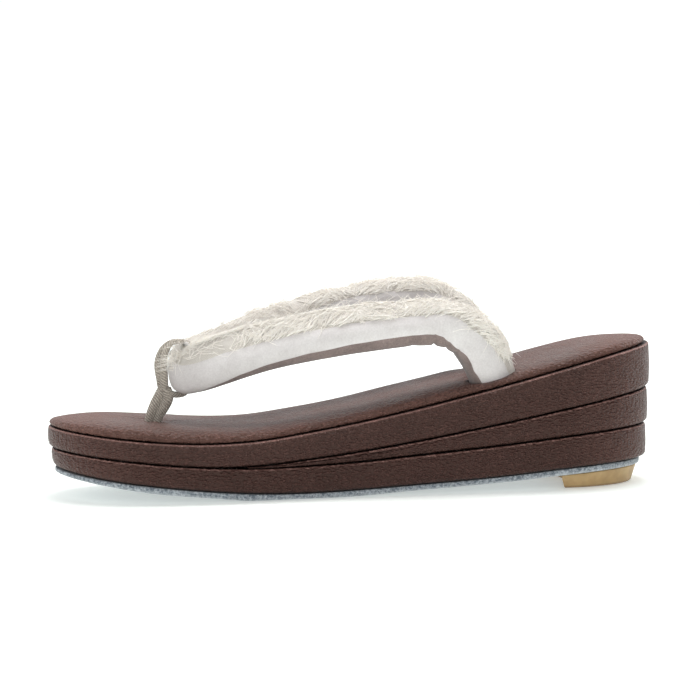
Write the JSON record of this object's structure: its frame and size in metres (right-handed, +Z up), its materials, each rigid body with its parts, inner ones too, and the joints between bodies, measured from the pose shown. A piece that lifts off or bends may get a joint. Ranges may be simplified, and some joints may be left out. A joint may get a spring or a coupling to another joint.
{
  "type": "zori sandal",
  "caption": "Wedge zori sandal: leather-covered cores under a padded top, a thin suede outsole with a rubber heel tap, and a padded cloth strap with a frayed fringe, held by a toe thong.",
  "frame": {"origin": "on the floor, under the middle of the overall box", "axes": "+X from the toe to the heel, +Y across the sole, +Z up"},
  "size_m": [0.2404, 0.0828, 0.0811],
  "materials": {
    "sole_suede": "napped",
    "tap_rubber": "satin",
    "core_leather": "pebbled semi-gloss",
    "pad_leather": "pebbled semi-gloss",
    "strap_cloth": "velvety",
    "thong_cloth": "ribbed"
  },
  "bodies": {
    "root": {"outsole": "sole_suede", "heel_tap": "tap_rubber", "lower_core": "core_leather", "middle_core": "core_leather", "upper_core": "core_leather", "top_pad": "pad_leather", "hanao_strap": "strap_cloth", "toe_thong": "thong_cloth"}
  },
  "joints": []
}
